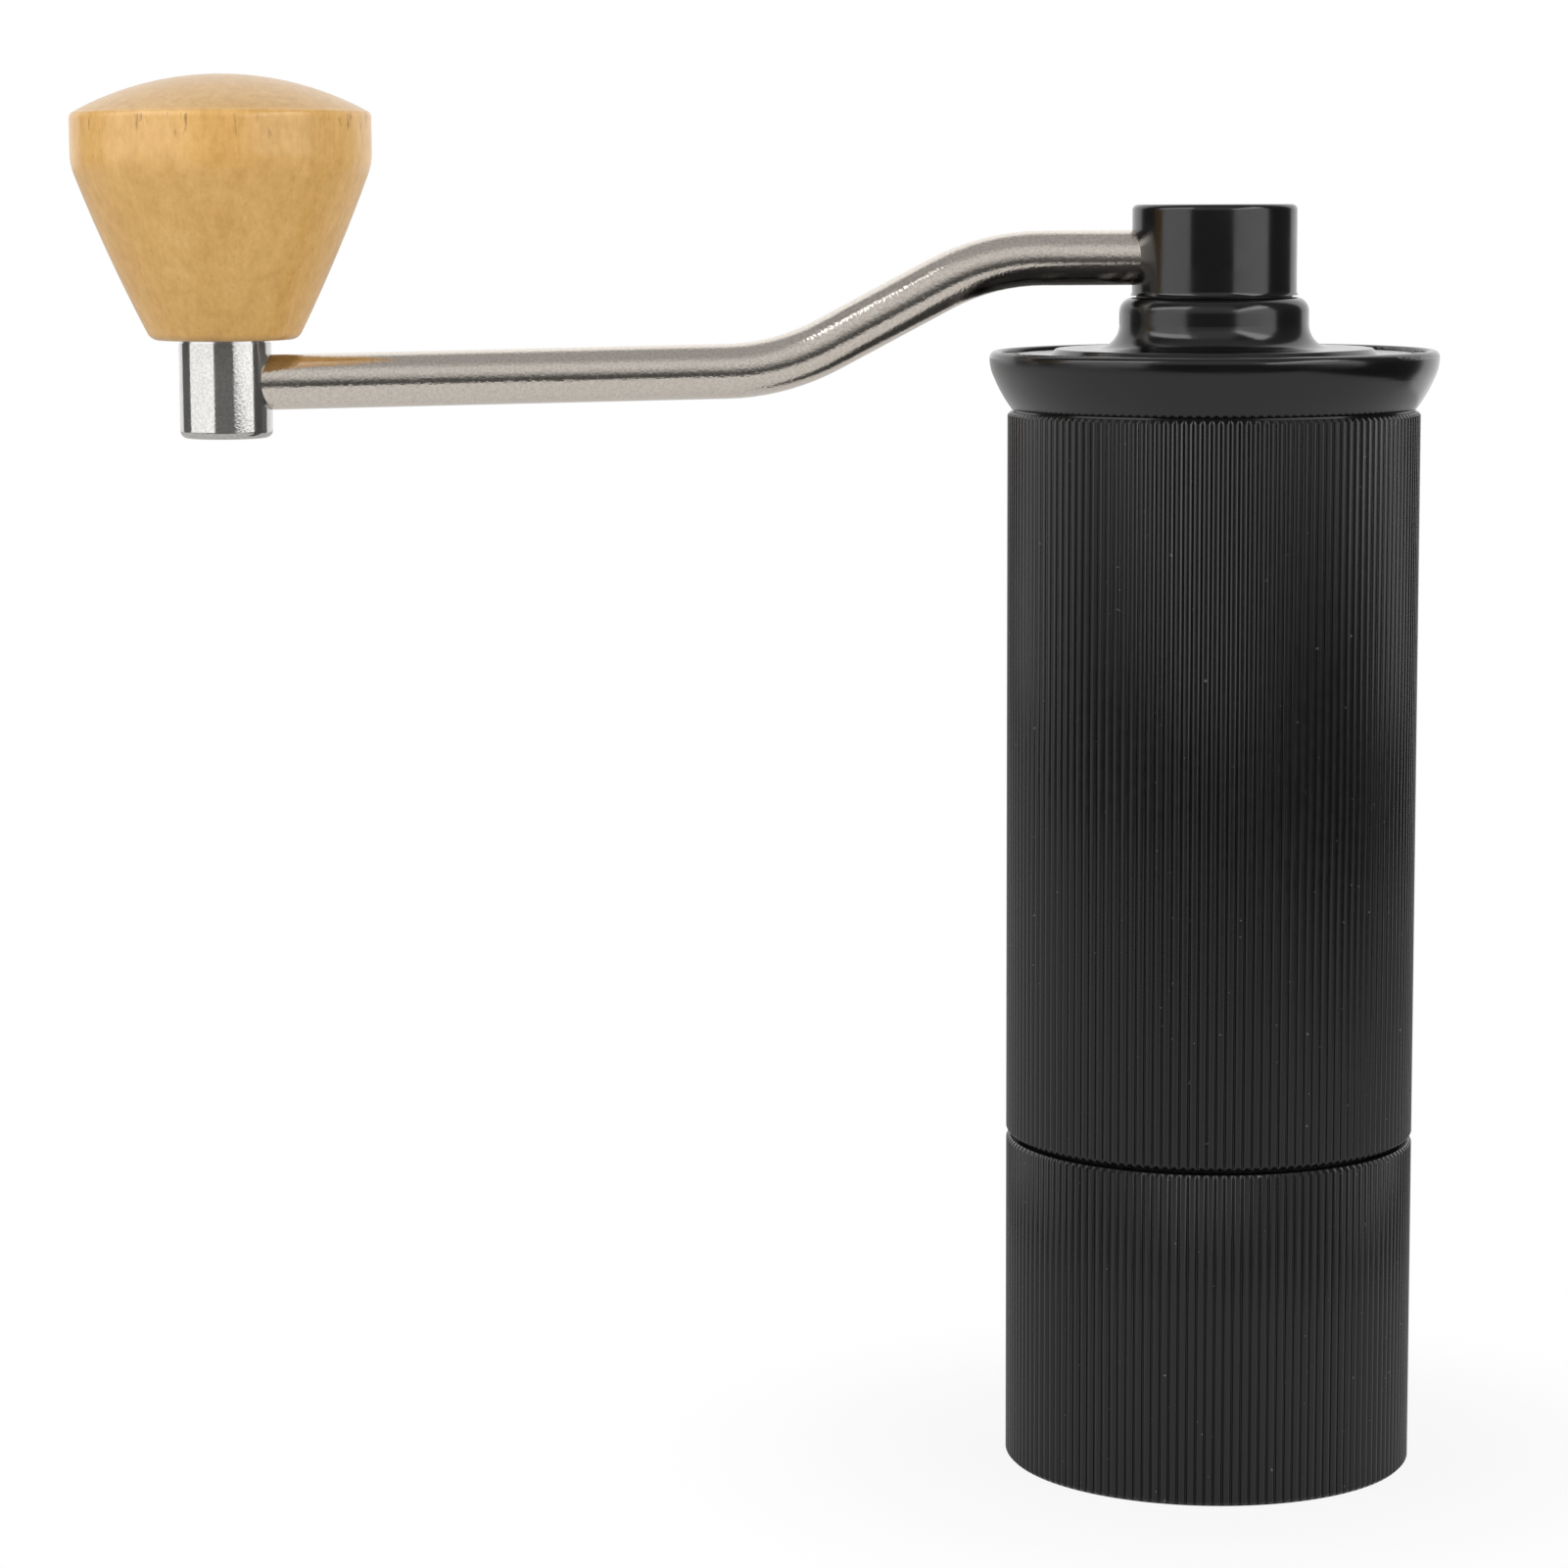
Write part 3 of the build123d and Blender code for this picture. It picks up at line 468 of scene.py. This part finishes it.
def round_point(radius, angle, height):
    """Point at a radius and an angle round the grinding axis."""
    return (radius * math.cos(angle), radius * math.sin(angle), height)


# ---- Ribbed body, in millimetres ------------------------------------------------------------

RIBS = 144
BODY_RADIUS = 26.0
RIB_DEPTH = 0.37
# A rib's top is an arc of this radius, with points where it slopes by these degrees.
CREST_RADIUS = 0.55
CREST_SLOPES = (5, 14, 23, 32, 41, 50, 58)
# The groove between two ribs: (share of the half pitch, share of the depth).
GROOVE = ((0.88, 0.88), (0.92, 1.0))
END_CHAMFER = 0.4
EDGE_BEVEL = 0.3

NECK_RADIUS = 23.5
NECK_LENGTH = 7.0
NECK_BEVEL = 0.5
# The screw thread: room in the cup, plain length at its upper end, and the shape of a turn.
THREAD_PITCH = 1.5
THREAD_DEPTH = 0.55
THREAD_GAP = 0.3
NECK_RUNOUT = 0.6
MOUTH_RUNOUT = 0.4
THREAD_STEPS = 12
THREAD_FADE = 0.25
THREAD_SLOPE = 2.2
THREAD_FLAT = 0.35

SEAT_RADIUS = 21.8
HOPPER_RADIUS = 21.0
LOWER_SHOULDER = 74.0
UPPER_SHOULDER = 114.0
# Foot, top and depth of the groove for the snap ring.
RING_GROOVE = (121.0, 122.0, 0.6)
COLLAR_SOCKET_RADIUS = 23.5
COLLAR_SOCKET_DEPTH = 6.0

CUP_RADIUS = 23.0
CUP_FLOOR = 2.5
CUP_FILLET = 3.0
FILLET_STEPS = 8
# The underside has a round row this far inside the wall, where the ribs' points end.
FOOT_INSET = 2.0


def rib_section():
    """(angle, depth) round the ribbed wall: rounded ribs with narrow grooves between them."""
    half = math.pi / RIBS
    slopes = [math.radians(slope) for slope in CREST_SLOPES]
    side = [(CREST_RADIUS * math.sin(a) / BODY_RADIUS, CREST_RADIUS * (1 - math.cos(a))) for a in slopes]
    side += [(share * half, depth * RIB_DEPTH) for share, depth in GROOVE]
    section = []
    for rib in range(RIBS):
        middle = 2 * half * rib
        section += [(middle - angle, depth) for angle, depth in reversed(side)]
        section += [(middle + angle, depth) for angle, depth in side]
    return section


def ribbed_row(height, limit):
    """Points of the ribbed wall at a height, cut back to a radius."""
    return [round_point(min(BODY_RADIUS - depth, limit), angle, height) for angle, depth in rib_section()]


def ribbed_wall(foot, top):
    """Rows of the ribbed wall with a chamfer at each end."""
    insets = (END_CHAMFER, RIB_DEPTH, 0.0)
    rows = [ribbed_row(foot + END_CHAMFER - inset, BODY_RADIUS - inset) for inset in insets]
    rows += [ribbed_row(top - END_CHAMFER + inset, BODY_RADIUS - inset) for inset in reversed(insets)]
    return rows


def round_row(radius, height):
    """Plain round row, one point to a rib."""
    return [round_point(radius, 2 * math.pi * rib / RIBS, height) for rib in range(RIBS)]


def thread_rows(crest, depth, start, end):
    """Rows of a screw thread cut to a depth (negative cuts outward), fading out at both ends."""
    steps = round(abs(end - start) / THREAD_PITCH * THREAD_STEPS)
    rows = []
    for step in range(steps + 1):
        height = start + (end - start) * step / steps
        fade = min(1.0, min(step, steps - step) / steps / THREAD_FADE)
        row = []
        for rib in range(RIBS):
            turn = rib / RIBS
            wave = (height / THREAD_PITCH - turn) % 1.0
            cut = min(1.0, max(0.0, THREAD_SLOPE * (1 - abs(2 * wave - 1)) - THREAD_FLAT))
            row.append(round_point(crest - depth * cut * fade, 2 * math.pi * turn, height))
        rows.append(row)
    return rows


def make_barrel_shell(material):
    """Ribbed barrel with its stepped bores and the threaded neck that the cup screws on to."""
    low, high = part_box("barrel")
    neck_foot = low[2] / MM
    foot = neck_foot + NECK_LENGTH
    top = high[2] / MM
    socket = top - COLLAR_SOCKET_DEPTH
    groove_foot, groove_top, groove_depth = RING_GROOVE
    bores = ((COLLAR_SOCKET_RADIUS + EDGE_BEVEL, top), (COLLAR_SOCKET_RADIUS, top - EDGE_BEVEL),
             (COLLAR_SOCKET_RADIUS, socket), (SEAT_RADIUS, socket),
             (SEAT_RADIUS, groove_top), (SEAT_RADIUS + groove_depth, groove_top),
             (SEAT_RADIUS + groove_depth, groove_foot), (SEAT_RADIUS, groove_foot),
             (SEAT_RADIUS, UPPER_SHOULDER), (HOPPER_RADIUS, UPPER_SHOULDER),
             (HOPPER_RADIUS, LOWER_SHOULDER), (SEAT_RADIUS, LOWER_SHOULDER),
             (SEAT_RADIUS, neck_foot + EDGE_BEVEL), (SEAT_RADIUS + EDGE_BEVEL, neck_foot),
             (NECK_RADIUS - NECK_BEVEL, neck_foot))
    rows = ribbed_wall(foot, top) + [round_row(radius, height) for radius, height in bores]
    rows += thread_rows(NECK_RADIUS, THREAD_DEPTH, neck_foot + NECK_BEVEL, foot - NECK_RUNOUT)
    rows.append(round_row(NECK_RADIUS, foot))
    piece = skin("barrel_shell", rows, ring=True)
    piece.data.materials.append(material)
    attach(piece, "barrel")
    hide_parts("barrel")


def make_cup_shell(material):
    """Ribbed catch cup with a threaded mouth and a round-cornered cavity."""
    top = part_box("grounds_cup")[1][2] / MM
    mouth = NECK_RADIUS + THREAD_GAP
    mouth_foot = top - NECK_LENGTH - THREAD_GAP
    rows = [round_row(BODY_RADIUS - FOOT_INSET, 0.0)] + ribbed_wall(0.0, top)
    rows.append(round_row(mouth + EDGE_BEVEL, top))
    rows += thread_rows(mouth, -THREAD_DEPTH, top - EDGE_BEVEL, mouth_foot + MOUTH_RUNOUT)
    rows += [round_row(mouth, mouth_foot), round_row(CUP_RADIUS, mouth_foot)]
    for step in range(FILLET_STEPS + 1):
        bend = math.radians(90 * step / FILLET_STEPS)
        rows.append(round_row(CUP_RADIUS - CUP_FILLET * (1 - math.cos(bend)),
                              CUP_FLOOR + CUP_FILLET * (1 - math.sin(bend))))
    piece = skin("cup_shell", rows, ring=False)
    piece.data.materials.append(material)
    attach(piece, "cup")
    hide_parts("grounds_cup")


# ---- Burr spring, in millimetres ------------------------------------------------------------

SPRING_WIRE = 0.9
SPRING_TURNS = 4
SPRING_STEPS = 48


def make_burr_spring(material):
    """Square-wire spring in the place of the CAD spring: its foot on the burr, its top under the
    washer."""
    low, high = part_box("burr_spring")
    half = SPRING_WIRE / 2
    radius = high[0] / MM - half
    foot = low[2] / MM + half
    rise = (high[2] - low[2]) / MM - SPRING_WIRE
    corners = ((-half, -half), (half, -half), (half, half), (-half, half))
    rows = []
    for step in range(SPRING_TURNS * SPRING_STEPS + 1):
        turns = step / SPRING_STEPS
        height = foot + rise * turns / SPRING_TURNS
        rows.append([round_point(radius + out, 2 * math.pi * turns, height + up) for out, up in corners])
    piece = skin("spring_coil", rows, ring=False)
    piece.data.materials.append(material)
    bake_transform(piece)
    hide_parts("burr_spring")


# ---- Assembly -------------------------------------------------------------------------------

def make_finishes():
    """The material of each slot of the record."""
    return {
        "ribbed_black": ribbed_black(),
        "satin_black": satin_black(),
        "polished_steel": polished_steel(),
        "bar_steel": bar_steel(),
        "wood": wood(),
        "burr_steel": plain_metal("burr_steel", (0.42, 0.42, 0.43), 0.3),
        "bearing_steel": plain_metal("bearing_steel", (0.6, 0.6, 0.61), 0.18),
        "bracket_metal": plain_metal("bracket_metal", (0.5, 0.5, 0.51), 0.38),
        "bush_brass": plain_metal("bush_brass", (0.7, 0.5, 0.22), 0.3),
        "dial_plastic": plain_black("dial_plastic", 0.5, (0.012, 0.012, 0.013)),
        # Black rubber, made darker than rubber is, as painted shade in the joint between barrel and cup.
        "seal_rubber": plain_black("seal_rubber", 0.8, (0.002, 0.002, 0.002)),
    }


def dress_nodes(finishes):
    """Gives every CAD node the material of its slot."""
    for part in frame["record"]["subparts"]:
        mesh = frame["nodes"][part["node"]].data
        mesh.materials.clear()
        mesh.materials.append(finishes[part["material_slot"]])


make_camera()
make_world()
make_floor()
make_softbox("softbox_left", *SOFTBOX_LEFT)
make_softbox("softbox_right", *SOFTBOX_RIGHT)
finishes = make_finishes()
dress_nodes(finishes)
make_barrel_shell(finishes["ribbed_black"])
make_cup_shell(finishes["ribbed_black"])
make_burr_spring(finishes["bearing_steel"])
bpy.context.scene.view_settings.view_transform = "Standard"
